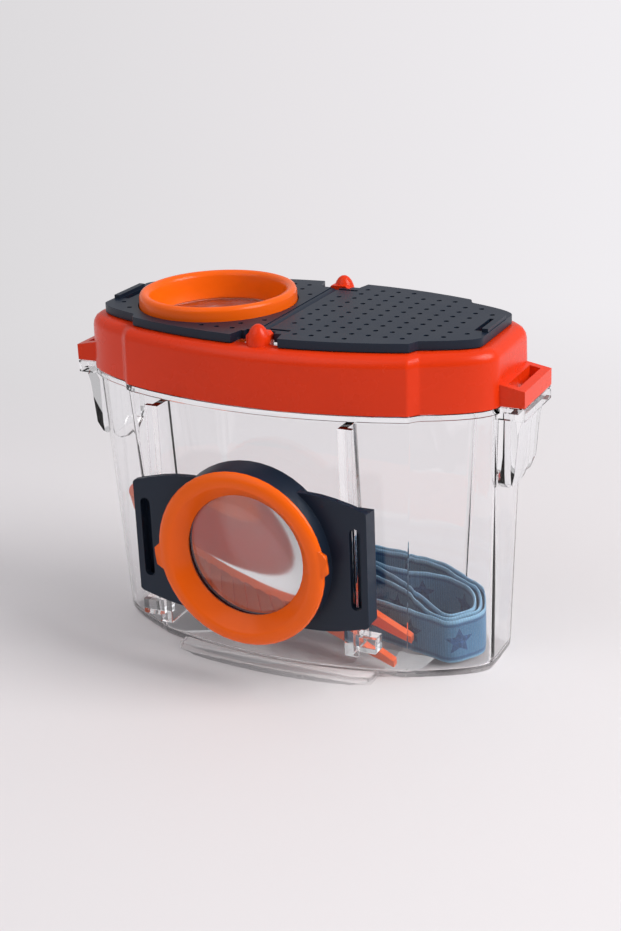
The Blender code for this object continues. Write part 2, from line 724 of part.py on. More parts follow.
def clear_of_root(centre):
    return abs(centre[0]) > RIGHT_NOTCH_X or abs(centre[1]) < EAR_GAP_Y - AIR_RADIUS


def flap_lip(side):
    """The raised grip at the flap's end."""
    low_x, high_x = sorted((side * (SCOOP_OUT + GAP), side * LIP_OUT))
    return box("flap_lip", (low_x, -LIP_HALF, FLAP_LOW + GAP), (high_x, LIP_HALF, FLAP_TOP + LIP_RISE))


def scoop(side):
    inner, outer = side * SCOOP_IN, side * SCOOP_OUT
    return [(inner, -SCOOP_HALF), (outer, -SCOOP_HALF), (outer, SCOOP_HALF), (inner, SCOOP_HALF)]


def pins(axis_x, axis_z, radius):
    return [rod("pin", (axis_x, side * (KNUCKLE_HALF - OVERLAP), axis_z), (axis_x, side * PIN_REACH, axis_z),
                radius, PIN_SIDES) for side in (1, -1)]


def make_left_flap():
    root = [(LEFT_EDGE_X, KNUCKLE_HALF), (LEFT_EDGE_X, -KNUCKLE_HALF), (LEFT_ROOT_X, -KNUCKLE_HALF),
            (LEFT_ROOT_X, -LEFT_NOTCH_Y), (LEFT_NOTCH_X, -LEFT_NOTCH_Y)]
    back_root = [(LEFT_NOTCH_X, LEFT_NOTCH_Y), (LEFT_ROOT_X, LEFT_NOTCH_Y), (LEFT_ROOT_X, KNUCKLE_HALF)]
    outlines = [root + flap_edge(-1) + back_root,
                circle((LID_X, 0.0), LID_HOLE_RADIUS, LID_HOLE_SIDES), scoop(-1)]
    outlines += air_holes(-1, lambda centre: clear_of_lid(centre) and clear_of_root(centre))
    flap = plate("left_flap", outlines, FLAP_LOW, FLAP_TOP)
    join(flap, rod("barrel", (LEFT_AXIS_X, GAP - KNUCKLE_HALF, LEFT_AXIS_Z),
                   (LEFT_AXIS_X, KNUCKLE_HALF - GAP, LEFT_AXIS_Z), BARREL_RADIUS, BARREL_SIDES))
    for pin in pins(LEFT_AXIS_X, LEFT_AXIS_Z, LEFT_PIN_RADIUS):
        join(flap, pin)
    join(flap, flap_lip(-1))
    return finish(flap, "navy", (LEFT_AXIS_X, 0.0, LEFT_AXIS_Z))


def make_right_flap():
    root = [(RIGHT_EDGE_X, EAR_GAP_Y), (RIGHT_EDGE_X, -EAR_GAP_Y), (EAR_ARM_X, -EAR_GAP_Y),
            (EAR_ARM_X, -EAR_ARM_Y), (RIGHT_EDGE_X, -EAR_ARM_Y), (RIGHT_EDGE_X, -KNUCKLE_HALF),
            (RIGHT_ROOT_X, -KNUCKLE_HALF), (RIGHT_ROOT_X, -RIGHT_NOTCH_Y), (RIGHT_NOTCH_X, -RIGHT_NOTCH_Y)]
    back_root = [(x, -y) for x, y in reversed(root[2:])]
    outlines = [root + flap_edge(1) + back_root, scoop(1)]
    outlines += air_holes(1, clear_of_root)
    flap = plate("right_flap", outlines, FLAP_LOW, FLAP_TOP)
    for pin in pins(RIGHT_AXIS_X, RIGHT_AXIS_Z, RIGHT_PIN_RADIUS):
        join(flap, pin)
    join(flap, flap_lip(1))
    return finish(flap, "navy", (RIGHT_AXIS_X, 0.0, RIGHT_AXIS_Z))


def lens_profile(radius, edge, bulge):
    """Half of a lens section: the front face from its middle out, the rim, and the back face."""
    front = []
    for step in range(LENS_RINGS + 1):
        share = step / LENS_RINGS
        front.append((radius * share, edge / 2 + bulge * (1 - share * share)))
    return front + [(across, -up) for across, up in reversed(front)]


# Radius and height over the rim's top, from the outer edge down and up again inside.
LID_RING_SHAPE = (
    (23.0 * MM, 7.0 * MM), (24.0 * MM, 6.6 * MM), (24.5 * MM, 5.6 * MM), (LID_RING_RADIUS, 2.9 * MM),
    (LID_RING_RADIUS, -0.1 * MM), (LID_HOLE_RADIUS, -0.6 * MM), (LID_HOLE_RADIUS, -1.1 * MM),
    (24.4 * MM, -2.0 * MM), (23.6 * MM, -4.4 * MM), (21.0 * MM, -4.4 * MM), (21.0 * MM, -4.0 * MM),
    (LID_LENS_RADIUS + GAP, -3.8 * MM), (LID_LENS_RADIUS + GAP, -LID_SEAT_DROP),
    (20.6 * MM, -LID_SEAT_DROP), (19.9 * MM, -1.2 * MM), (20.9 * MM, 5.4 * MM), (21.7 * MM, 6.6 * MM),
)


def make_lid_ring():
    ring = turned("lid_lens_ring", LID_RING_SHAPE, (LID_X, 0, RIM_TOP))
    return finish(ring, "bright_orange", (LID_X, 0.0, LEFT_AXIS_Z), smooth=True)


def make_lid_lens():
    profile = lens_profile(LID_LENS_RADIUS - GAP / 2, LID_LENS_EDGE, LID_LENS_BULGE)
    middle = LID_SEAT_Z - LID_LENS_EDGE / 2 - GAP
    lens = turned("lid_lens", profile, (LID_X, 0, middle), steps=LENS_STEPS, closed=False)
    return finish(lens, "lens", (LID_X, 0.0, middle), smooth=True)


def wing_outline():
    """The holder's wings, highest beside the barrel and lower at the ends."""
    right = []
    for step in range(WING_STEPS + 1):
        share = step / WING_STEPS
        drop = (WING_MID_HEIGHT - WING_END_HEIGHT) * (1 - math.cos(share * math.pi / 2))
        right.append((mix(WING_MID_X, WING_HALF - WING_CORNER, share), WING_MID_HEIGHT - drop))
    right.append((WING_HALF, WING_END_HEIGHT - WING_CORNER))
    right += [(x, -z) for x, z in reversed(right)]
    left = [(-x, z) for x, z in reversed(right)]
    return [(x, AXIS_Z + z) for x, z in right + left]


HOLDER_BARREL_PROFILE = (
    (STOP_RING_RADIUS, -BARREL_BACK), (27.7 * MM, -BARREL_BACK), (27.3 * MM, 42.4 * MM),
    (26.6 * MM, 46.2 * MM), (26.2 * MM, -BARREL_FRONT), (BORE_RADIUS, -BARREL_FRONT),
    (BORE_RADIUS, -GROOVE_FRONT), (GROOVE_RADIUS, -GROOVE_FRONT), (GROOVE_RADIUS, -GROOVE_BACK),
    (BORE_RADIUS, -GROOVE_BACK), (BORE_RADIUS, 43.1 * MM), (LENS_RADIUS + GAP, 43.1 * MM),
    (LENS_RADIUS + GAP, 40.1 * MM),
    (STOP_RING_RADIUS, 40.1 * MM),
)


def holder_end(side):
    """The wall at the wing's end and the lip that hooks behind the rail."""
    points = [(WING_HALF, WING_FRONT + OVERLAP), (WING_HALF, END_WALL_BACK), (LIP_INNER, END_WALL_BACK),
              (LIP_INNER, LIP_FRONT), (WING_HALF - END_WALL, LIP_FRONT),
              (WING_HALF - END_WALL, WING_FRONT + OVERLAP)]
    height = WING_END_HEIGHT - WING_CORNER - GAP
    return plate("holder_end", [[(side * x, y) for x, y in points]], AXIS_Z - height, AXIS_Z + height)


def window(side):
    radius = (WINDOW_OUT - WINDOW_IN) / 2
    middle = side * (WINDOW_OUT + WINDOW_IN) / 2
    points = arc((middle, WINDOW_TOP - radius), radius, 0, 180, WINDOW_STEPS)
    points += arc((middle, WINDOW_LOW + radius), radius, 180, 360, WINDOW_STEPS)
    return plate("window", [points], WING_FRONT - OVERLAP, WING_BACK + OVERLAP, "y")


def sector(name, radii, middle, half_angles, low, high):
    """A block between two radii about the magnifier's axis, each with its half angle in degrees."""
    outside = arc((0.0, AXIS_Z), radii[1], middle - half_angles[1], middle + half_angles[1], SECTOR_STEPS)
    inside = arc((0.0, AXIS_Z), radii[0], middle + half_angles[0], middle - half_angles[0], SECTOR_STEPS)
    return plate(name, [outside + inside], low, high, "y")


def holder_barrel():
    """The barrel round the lens, with the groove and the two entries of the bezel's bayonet."""
    barrel = turned("holder_barrel", HOLDER_BARREL_PROFILE, (0, 0, AXIS_Z), "y")
    for half_turn in (0, 180):
        cut(barrel, sector("bayonet_entry", (BORE_RADIUS - OVERLAP / 2, GROOVE_RADIUS - GAP),
                           ENTRY_ANGLE + half_turn, (ENTRY_HALF_ANGLE, ENTRY_HALF_ANGLE),
                           BARREL_FRONT - OVERLAP, (GROOVE_FRONT + GROOVE_BACK) / 2))
    return barrel


def make_holder():
    wings = plate("lens_holder", [wing_outline()], WING_FRONT, WING_BACK, "y")
    for side in (1, -1):
        join(wings, holder_end(side))
    cut(wings, rod("holder_bore", (0, WING_FRONT - OVERLAP, AXIS_Z), (0, BARREL_BACK + OVERLAP, AXIS_Z),
                   BORE_RADIUS + OVERLAP, TURN_STEPS))
    for side in (1, -1):
        cut(wings, window(side))
    join(wings, holder_barrel())
    return finish(wings, "navy", (0.0, RAIL_FRONT, AXIS_Z))


BEZEL_PROFILE = (
    (19.0 * MM, 43.9 * MM), (SPIGOT_RADIUS, 43.9 * MM), (SPIGOT_RADIUS, -BEZEL_BACK),
    (27.3 * MM, -BEZEL_BACK), (27.4 * MM, 47.4 * MM), (27.0 * MM, 48.0 * MM), (26.2 * MM, 48.7 * MM),
    (24.9 * MM, 49.1 * MM), (23.7 * MM, 49.1 * MM), (22.7 * MM, 48.7 * MM), (19.1 * MM, 44.6 * MM),
)


def make_bezel():
    bezel = turned("front_bezel", BEZEL_PROFILE, (0, 0, AXIS_Z), "y")
    for half_turn in (0, 180):
        join(bezel, sector("bezel_grip", (GRIP_ROOT_RADIUS, GRIP_RADIUS), GRIP_ANGLE + half_turn,
                           (GRIP_ROOT_HALF_ANGLE, GRIP_HALF_ANGLE), GRIP_FRONT, BEZEL_BACK))
        join(bezel, sector("bezel_tab", (SPIGOT_RADIUS - OVERLAP, TAB_RADIUS), TAB_ANGLE + half_turn,
                           (TAB_HALF_ANGLE, TAB_HALF_ANGLE), GROOVE_FRONT + GAP, GROOVE_BACK - GAP))
    return finish(bezel, "bright_orange", (0.0, BEZEL_BACK, AXIS_Z))


def make_front_lens():
    profile = lens_profile(LENS_RADIUS - GAP / 2, LENS_EDGE, LENS_BULGE)
    lens = turned("front_lens", profile, (0, LENS_MIDDLE, AXIS_Z), "y", LENS_STEPS, closed=False)
    return finish(lens, "lens", (0.0, LENS_MIDDLE, AXIS_Z), smooth=True)


def tweezer_frame():
    """The lean of the tweezers: X along them, Y the way they open, Z across their width."""
    along = (TIPS_AT - HEEL_AT).normalized()
    across = along.cross(OPEN_TOWARDS).normalized()
    opening = across.cross(along)
    lean = Matrix((along, opening, across)).transposed().to_4x4()
    return Matrix.Translation(HEEL_AT) @ lean


def arm_middle(share):
    """How far an arm's middle lies from the tweezers' own middle, from heel to tip."""
    straight = mix(HEEL_OFFSET, TIP_OFFSET, share)
    return straight + (ARM_BOW - TIP_OFFSET) * math.sin(math.pi * share) * (1 - share)


def arm_outline():
    """The arm seen from its edge: a bowed band."""
    inner, outer = [], []
    for step in range(ARM_STEPS + 1):
        share = step / ARM_STEPS
        x = HEEL_LENGTH + (ARM_LENGTH - HEEL_LENGTH) * share
        inner.append((x, arm_middle(share) - ARM_THICK / 2))
        outer.append((x, arm_middle(share) + ARM_THICK / 2))
    return inner + outer[::-1]


def arm_face():
    """The arm seen from its face: broad in the middle and narrow at the tip."""
    upper = []
    for step in range(ARM_STEPS + 1):
        share = step / ARM_STEPS
        if share < WIDEST_SHARE:
            width = mix(HEEL_WIDTH, ARM_WIDTH, math.sin(share / WIDEST_SHARE * math.pi / 2))
        else:
            fall = (share - WIDEST_SHARE) / (1 - WIDEST_SHARE)
            width = mix(ARM_WIDTH, TIP_WIDTH, fall * fall)
        upper.append((ARM_LENGTH * share, width / 2))
    return upper + [(x, -z) for x, z in reversed(upper)]


def make_arm(name, side):
    band = plate(name, [[(x, side * y) for x, y in arm_outline()]], -ARM_WIDTH, ARM_WIDTH)
    for index in range(GRIP_RIBS):
        x = GRIP_RIB_FROM + index * GRIP_RIB_PITCH
        middle = arm_middle((x - HEEL_LENGTH) / (ARM_LENGTH - HEEL_LENGTH))
        low_y, high_y = sorted((side * middle, side * (middle + ARM_THICK / 2 + GRIP_RIB_RISE)))
        join(band, box("grip_rib", (x, low_y, -ARM_WIDTH), (x + GRIP_RIB_WIDTH, high_y, ARM_WIDTH)))
    return band


def heel_outline():
    radius = HEEL_OFFSET + ARM_THICK / 2
    return arc((radius, 0.0), radius, 90, 270, 2 * ARM_STEPS) + [(HEEL_LENGTH - GAP, -radius),
                                                               (HEEL_LENGTH - GAP, radius)]


def make_tweezers():
    """The heel carries the front arm; the back arm bends from the heel."""
    frame = tweezer_frame()
    front = make_arm("tweezer_front_arm", -1)
    back = make_arm("tweezer_back_arm", 1)
    radius = HEEL_OFFSET + ARM_THICK / 2
    heel = plate("tweezer_heel", [heel_outline()], -ARM_WIDTH, ARM_WIDTH)
    join(front, heel)
    join(front, box("arm_root", (HEEL_LENGTH - OVERLAP, -radius, -ARM_WIDTH),
                    (HEEL_LENGTH + OVERLAP, -HEEL_OFFSET + ARM_THICK / 2, ARM_WIDTH)))
    reach = 2 * radius + ARM_BOW
    for arm in (front, back):
        face = plate("arm_face", [arm_face()], -reach, reach, "y")
        combine(arm, face, "INTERSECT")
        solid = evaluated_mesh(arm)
        solid.transform(frame)
        weld(solid)
        arm.modifiers.clear()
        arm.data = solid
    origin = frame @ Vector((HEEL_LENGTH, HEEL_OFFSET, 0.0))
    finish(front, "orange", HEEL_AT)
    finish(back, "orange", origin)
    return origin, frame


def strap_stations():
    stations = []
    for loop in STRAP_LOOP_SHARES:
        for across, back in loop:
            stations.append(Vector((STRAP_MID_X + STRAP_HALF_X * across, STRAP_MID_Y + STRAP_HALF_Y * back)))
    return stations


def strap_route():
    """A smooth curve through the stations, with the same number of points between each two."""
    stations = strap_stations()
    padded = [stations[0] * 2 - stations[1]] + stations + [stations[-1] * 2 - stations[-2]]
    route = []
    for index in range(1, len(padded) - 2):
        before, start, end, after = padded[index - 1:index + 3]
        for step in range(STRAP_POINTS_PER_STATION):
            t = step / STRAP_POINTS_PER_STATION
            bend = (start * 2 + (end - before) * t + (before * 2 - start * 5 + end * 4 - after) * t ** 2
                    + (start * 3 - before - end * 3 + after) * t ** 3)
            route.append(bend / 2)
    route.append(stations[-1])
    return route


def least_strap_gap(route):
    """The least distance between two stretches of the strap that aren't neighbours, less its thickness."""
    least = STRAP_HALF_X
    skip = 2 * STRAP_POINTS_PER_STATION
    for index in range(len(route)):
        for other in range(index + skip, len(route) - 1):
            start, along = route[other], route[other + 1] - route[other]
            share = max(0.0, min(1.0, (route[index] - start).dot(along) / along.length_squared))
            least = min(least, (route[index] - start - along * share).length)
    return least - STRAP_THICK


def strap_outline(route):
    left, right = [], []
    for index, point in enumerate(route):
        along = route[min(index + 1, len(route) - 1)] - route[max(index - 1, 0)]
        away = Vector((-along.y, along.x)).normalized() * STRAP_THICK / 2
        left.append(tuple(point + away))
        right.append(tuple(point - away))
    return left + right[::-1]


def make_strap():
    route = strap_route()
    gap = least_strap_gap(route)
    length = sum((after - before).length for before, after in zip(route, route[1:]))
    print("elastic strap: length %.1f mm, least gap to itself %.2f mm" % (length / MM, gap / MM))
    if gap < STRAP_LEAST_GAP:
        print("elastic strap: its loops lie closer than they may")
    strap = plate("elastic_strap", [strap_outline(route)], STRAP_LOW, STRAP_LOW + STRAP_WIDTH)
    pivot = Vector((0.0, STRAP_TILT_Y, STRAP_LOW))
    tilt = Matrix.Rotation(math.radians(STRAP_TILT), 4, "X")
    strap.data.transform(Matrix.Translation(pivot) @ tilt @ Matrix.Translation(-pivot))
    return finish(strap, "elastic", (STRAP_MID_X, STRAP_MID_Y, STRAP_LOW))


clear_scene()
PARTS = new_collection("insect_observation_box")
CUTTERS = new_collection("cutters")
MATERIALS = {name: material(name) for name in COLOURS}
make_tub()
make_rim()
make_left_flap()
make_right_flap()
make_lid_ring()
make_lid_lens()
make_holder()
make_bezel()
make_front_lens()
TWEEZER_HINGE, TWEEZER_FRAME = make_tweezers()
make_strap()
print("tweezer hinge", [round(value, 6) for value in TWEEZER_HINGE])
print("tweezer hinge axis", [round(value, 6) for value in TWEEZER_FRAME.col[2][:3]])
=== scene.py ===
import math

import bmesh
import bpy
from mathutils import Matrix, Vector


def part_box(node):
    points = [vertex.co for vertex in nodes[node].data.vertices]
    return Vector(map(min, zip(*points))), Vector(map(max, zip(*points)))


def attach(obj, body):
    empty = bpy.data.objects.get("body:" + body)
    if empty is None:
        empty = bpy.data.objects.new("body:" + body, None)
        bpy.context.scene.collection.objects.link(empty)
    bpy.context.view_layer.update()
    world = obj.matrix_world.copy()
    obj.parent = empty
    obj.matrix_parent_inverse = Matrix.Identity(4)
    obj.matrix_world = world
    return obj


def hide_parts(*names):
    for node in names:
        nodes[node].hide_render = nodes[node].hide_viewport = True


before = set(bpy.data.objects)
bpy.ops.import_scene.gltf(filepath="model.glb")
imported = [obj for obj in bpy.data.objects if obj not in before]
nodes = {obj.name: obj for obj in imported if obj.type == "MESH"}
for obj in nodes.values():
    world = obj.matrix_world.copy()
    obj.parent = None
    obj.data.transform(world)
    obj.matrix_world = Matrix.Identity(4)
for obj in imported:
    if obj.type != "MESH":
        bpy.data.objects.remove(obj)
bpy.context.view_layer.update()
mm = 0.001
print("frame loaded:", len(nodes), "nodes")

# Camera, from the photograph's perspective
cameraLook = {
    "place": (0.21426, -0.42798, 0.23649),
    "azimuth": 26.532,
    "elevation": 20.677,
    "roll": -2.291,
    "lens": 62.98,
    "sensor": 36.0,
}


def makeCamera():
    azimuth = math.radians(cameraLook["azimuth"])
    elevation = math.radians(cameraLook["elevation"])
    roll = math.radians(cameraLook["roll"])
    back = Vector((math.sin(azimuth) * math.cos(elevation), -math.cos(azimuth) * math.cos(elevation),
                   math.sin(elevation)))
    level = Vector((math.cos(azimuth), math.sin(azimuth), 0))
    upright = back.cross(level)
    right = level * math.cos(roll) + upright * math.sin(roll)
    up = upright * math.cos(roll) - level * math.sin(roll)
    data = bpy.data.cameras.new("camera")
    data.lens = cameraLook["lens"]
    data.sensor_width = cameraLook["sensor"]
    data.clip_start = 0.01
    data.clip_end = 50
    camera = bpy.data.objects.new("camera", data)
    bpy.context.scene.collection.objects.link(camera)
    camera.matrix_world = (Matrix.Translation(cameraLook["place"])
                           @ Matrix((right, up, back)).transposed().to_4x4())
    bpy.context.scene.camera = camera
    return camera


makeCamera()
print("camera made")


# Small helpers for shader nodes
class Shading:
    def __init__(self, name):
        self.material = bpy.data.materials.new(name)
        self.material.use_nodes = True
        self.tree = self.material.node_tree
        self.shader = self.tree.nodes["Principled BSDF"]

    def add(self, kind, **settings):
        node = self.tree.nodes.new(kind)
        for name, value in settings.items():
            setattr(node, name, value)
        return node

    def link(self, source, target):
        self.tree.links.new(source, target)

    def place(self):
        # object coordinates, so that the pattern moves with its body
        return self.add("ShaderNodeTexCoord").outputs["Object"]

    def noise(self, where, scale, detail=3.0):
        node = self.add("ShaderNodeTexNoise")
        node.inputs["Scale"].default_value = scale
        node.inputs["Detail"].default_value = detail
        self.link(where, node.inputs["Vector"])
        return node.outputs["Fac"]

    def ramp(self, factor, *stops):
        node = self.add("ShaderNodeValToRGB")
        while len(node.color_ramp.elements) < len(stops):
            node.color_ramp.elements.new(0.5)
        for element, (position, colour) in zip(node.color_ramp.elements, stops):
            element.position = position
            element.color = colour
        self.link(factor, node.inputs["Fac"])
        return node.outputs["Color"]

    def spread(self, factor, low, high):
        node = self.add("ShaderNodeMapRange")
        node.inputs["To Min"].default_value = low
        node.inputs["To Max"].default_value = high
        self.link(factor, node.inputs["Value"])
        return node.outputs["Result"]

    def math(self, operation, first, second):
        node = self.add("ShaderNodeMath", operation=operation)
        for socket, value in zip(node.inputs, (first, second)):
            if isinstance(value, (int, float)):
                socket.default_value = value
            else:
                self.link(value, socket)
        return node.outputs["Value"]

    def bump(self, height, strength, distance):
        node = self.add("ShaderNodeBump")
        node.inputs["Strength"].default_value = strength
        node.inputs["Distance"].default_value = distance
        self.link(height, node.inputs["Height"])
        self.link(node.outputs["Normal"], self.shader.inputs["Normal"])

    def set(self, **values):
        for name, value in values.items():
            self.shader.inputs[name.replace("_", " ")].default_value = value


def plastic(look):
    # moulded plastic: flow mottle in the colour, uneven gloss and a fine skin
    made = Shading(look["name"])
    where = made.place()
    colour = look["colour"]
    shade = tuple(channel * look["shade"] for channel in colour[:3]) + (1.0,)
    mottle = made.noise(where, look["mottleScale"], look["mottleDetail"])
    made.link(made.ramp(mottle, (look["mottleFrom"], shade), (look["mottleTo"], colour)),
              made.shader.inputs["Base Color"])
    gloss = made.noise(where, look["glossScale"], look["glossDetail"])
    made.link(made.spread(gloss, look["roughness"] - look["roughnessSpread"],
                          look["roughness"] + look["roughnessSpread"]), made.shader.inputs["Roughness"])
    skin = made.noise(where, look["skinScale"], look["skinDetail"])
    made.bump(skin, look["skinStrength"], look["skinDepth"])
    made.set(Specular_IOR_Level=look["specular"], Coat_Weight=look["coat"],
             Coat_Roughness=look["coatRoughness"], Subsurface_Weight=look["glow"],
             Subsurface_Scale=look["glowDepth"])
    made.shader.inputs["Subsurface Radius"].default_value = look["glowColour"]
    return made.material


def clearPlastic(look):
    # clear moulded plastic; what falls through it as shadow is thin, as the real thing's is
    made = Shading(look["name"])
    where = made.place()
    ripple = made.noise(where, look["rippleScale"], look["rippleDetail"])
    made.bump(ripple, look["rippleStrength"], look["rippleDepth"])
    haze = made.noise(where, look["hazeScale"], look["hazeDetail"])
    made.link(made.spread(haze, look["roughness"], look["roughness"] + look["hazeSpread"]),
              made.shader.inputs["Roughness"])
    made.set(Base_Color=look["colour"], Transmission_Weight=1.0, IOR=look["ior"])
    path = made.add("ShaderNodeLightPath")
    shadow = made.math("MULTIPLY", path.outputs["Is Shadow Ray"], look["shadowClear"])
    made.link(made.math("SUBTRACT", 1.0, shadow), made.shader.inputs["Alpha"])
    return made.material


orangeLook = {
    "name": "orange plastic",
    "colour": (0.80, 0.040, 0.004, 1.0),
    "shade": 0.93,
    "mottleScale": 45.0,
    "mottleDetail": 4.0,
    "mottleFrom": 0.3,
    "mottleTo": 0.7,
    "glossScale": 90.0,
    "glossDetail": 5.0,
    "roughness": 0.27,
    "roughnessSpread": 0.05,
    "skinScale": 1400.0,
    "skinDetail": 2.0,
    "skinStrength": 0.12,
    "skinDepth": 0.05 * mm,
    "specular": 0.22,
    "coat": 0.0,
    "coatRoughness": 0.12,
    "glow": 0.0,
    "glowDepth": 0.003,
    "glowColour": (1.0, 0.25, 0.05),
}
brightLook = dict(orangeLook, name="bright orange plastic", colour=(0.98, 0.135, 0.004, 1.0),
                  roughness=0.24)
tweezerLook = dict(orangeLook, name="tweezer plastic", colour=(1.0, 0.14, 0.03, 1.0), roughness=0.42,
                   specular=0.35)
navyLook = dict(orangeLook, name="navy plastic", colour=(0.0095, 0.018, 0.036, 1.0), shade=0.85,
                roughness=0.40, specular=0.3, skinStrength=0.2)
tubLook = {
    "name": "clear plastic",
    "colour": (0.995, 0.995, 1.0, 1.0),
    "ior": 1.43,
    "roughness": 0.0,
    "hazeSpread": 0.015,
    "hazeScale": 30.0,
    "hazeDetail": 4.0,
    "rippleScale": 35.0,
    "rippleDetail": 2.0,
    "rippleStrength": 0.02,
    "rippleDepth": 0.1 * mm,
    "shadowClear": 0.88,
}
lensLook = dict(tubLook, name="lens plastic", colour=(1.0, 1.0, 1.0, 1.0), ior=1.6, roughness=0.03,
                rippleStrength=0.0, hazeSpread=0.03, shadowClear=0.9)

orange = plastic(orangeLook)
brightOrange = plastic(brightLook)
tweezerOrange = plastic(tweezerLook)
navy = plastic(navyLook)
clear = clearPlastic(tubLook)
lensClear = clearPlastic(lensLook)
print("materials made")

# The CAD nodes that stay: a better material, smooth faces and softly rounded edges.
# Each has its material, its slot, the width of its edges in mm and the angle that makes an edge.
dressing = {
    "tub": (clear, "clear_plastic", 0.25, 32),
    "rim": (orange, "orange_plastic", 0.35, 32),
    "left_flap": (navy, "navy_plastic", 0.16, 50),
    "right_flap": (navy, "navy_plastic", 0.16, 50),
    "lid_lens_ring": (brightOrange, "bright_orange_plastic", 0.0, 50),
    "lens_holder": (navy, "navy_plastic", 0.3, 35),
    "front_bezel": (brightOrange, "bright_orange_plastic", 0.0, 50),
    "tweezer_front_arm": (tweezerOrange, "orange_plastic", 0.25, 35),
    "tweezer_back_arm": (tweezerOrange, "orange_plastic", 0.25, 35),
}
edgeShape = {
    "weld": 0.005 * mm,
    "segments": 2,
    "normalWeight": 100,
}


def dress(name, material, slot, bevel, angle):
    node = nodes[name]
    node.data.materials.clear()
    node.data.materials.append(material)
    for face in node.data.polygons:
        face.material_index = 0
        face.use_smooth = True
    weld = node.modifiers.new("weld", "WELD")
    weld.merge_threshold = edgeShape["weld"]
    if bevel:
        rounding = node.modifiers.new("rounding", "BEVEL")
        rounding.width = bevel * mm
        rounding.segments = edgeShape["segments"]
        rounding.limit_method = "ANGLE"
        rounding.angle_limit = math.radians(angle)
        rounding.use_clamp_overlap = True
        rounding.harden_normals = False
    # the broad faces keep their own direction, so that thin clear walls don't act as prisms
    weighted = node.modifiers.new("weighted", "WEIGHTED_NORMAL")
    weighted.mode = "FACE_AREA"
    weighted.weight = edgeShape["normalWeight"]
    weighted.keep_sharp = False


for name, choice in dressing.items():
    dress(name, *choice)
print("CAD nodes dressed")


# Lenses, turned from the same sizes as the CAD ones, with many more rings
lensShape = {
    "steps": 96,
    "rings": 18,
    "bulgeShareLid": 1.5 / 4.7,
    "bulgeShareFront": 2.0 / 6.4,
    "weld": 0.001 * mm,
    "sharpAngle": 40,
}


def turnedLens(name, node, axis, bulgeShare, body):
    low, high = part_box(node)
    centre = (low + high) / 2
    size = high - low
    thick = size[axis]
    radius = size.x / 2
    bulge = thick * bulgeShare
    edge = thick / 2 - bulge
    profile = []
    for step in range(lensShape["rings"] + 1):
        share = step / lensShape["rings"]
        profile.append((radius * share, edge + bulge * (1 - share * share)))
    profile += [(across, -up) for across, up in reversed(profile)]
    mesh = bpy.data.meshes.new(name)
    mesh.from_pydata([(across, 0, up) for across, up in profile],
                     [(index, index + 1) for index in range(len(profile) - 1)], [])
    lens = bpy.data.objects.new(name, mesh)
    bpy.context.scene.collection.objects.link(lens)
    screw = lens.modifiers.new("turn", "SCREW")
    screw.steps = lensShape["steps"]
    screw.render_steps = lensShape["steps"]
    screw.use_merge_vertices = True
    screw.merge_threshold = lensShape["weld"]
    graph = bpy.context.evaluated_depsgraph_get()
    solid = bpy.data.meshes.new_from_object(lens.evaluated_get(graph))
    lens.modifiers.clear()
    lens.data = solid
    turned = Matrix.Rotation(math.radians(90), 4, "X") if axis == 1 else Matrix.Identity(4)
    solid.transform(Matrix.Translation(centre) @ turned)
    work = bmesh.new()
    work.from_mesh(solid)
    bmesh.ops.remove_doubles(work, verts=work.verts, dist=lensShape["weld"])
    bmesh.ops.recalc_face_normals(work, faces=work.faces)
    work.to_mesh(solid)
    work.free()
    solid.shade_smooth()
    solid.set_sharp_from_angle(angle=math.radians(lensShape["sharpAngle"]))
    solid.materials.append(lensClear)
    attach(lens, body)
    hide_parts(node)
    return lens


turnedLens("lid_lens_clear", "lid_lens", 2, lensShape["bulgeShareLid"], "left_flap")
turnedLens("front_lens_clear", "front_lens", 1, lensShape["bulgeShareFront"], "magnifier")
print("lenses made")

# Elastic strap: one ribbed band wound in three loops, standing on its edge
strapShape = {
    "width": 14.6 * mm,
    "thick": 1.0 * mm,
    "low": 2.6 * mm,
    "tilt": 3.4,
    "tiltY": -14.0 * mm,
    "middle": (20.0 * mm, 5.0 * mm),
    "half": (40.0 * mm, 20.0 * mm),
    "stepsPerStation": 24,
    "leastDepthShare": 0.12,
    "ribPitch": 0.85 * mm,
    "ribDepth": 0.07 * mm,
    "stepsPerRib": 4,
    "ribsPerUv": 100,
    "ripplePitch": 9.0 * mm,
    "rippleRise": 0.08 * mm,
    "starPitch": 17.0 * mm,
    "starRadius": 4.6 * mm,
    "starInnerShare": 0.45,
    "starRings": (0.25, 0.5, 0.75, 1.0),
    "starSteps": 3,
    "starLift": 0.03 * mm,
}
# stations of the three loops, as shares of the half sizes from the middle
strapLoops = (
    ((-0.80, 0.62), (-0.45, 0.62), (-0.10, 0.45), (0.25, 0.06), (0.52, -0.36), (0.70, -0.64),
     (0.81, -0.58), (0.885, -0.30), (0.785, 0.17), (0.595, 0.43), (0.40, 0.52), (0.10, 0.48),
     (-0.20, 0.62), (-0.55, 0.78), (-0.84, 0.80)),
    ((-0.94, 0.60), (-0.84, 0.42), (-0.45, 0.40), (-0.05, 0.16), (0.30, -0.16), (0.56, -0.62),
     (0.745, -0.77), (0.845, -0.62), (0.935, -0.315), (0.83, 0.24), (0.62, 0.515), (0.375, 0.83),
     (0.0, 0.99), (-0.45, 1.0), (-0.86, 0.98)),
    ((-1.02, 0.70), (-0.98, 0.10), (-0.78, -0.18), (-0.35, -0.42), (0.10, -0.56), (0.42, -0.70),
     (0.63, -0.80), (0.78, -0.87), (0.8875, -0.70), (0.98, -0.325), (0.8725, 0.285), (0.655, 0.59),
     (0.3925, 0.92), (0.0, 1.08), (-0.40, 1.12), (-0.72, 1.11)),
)


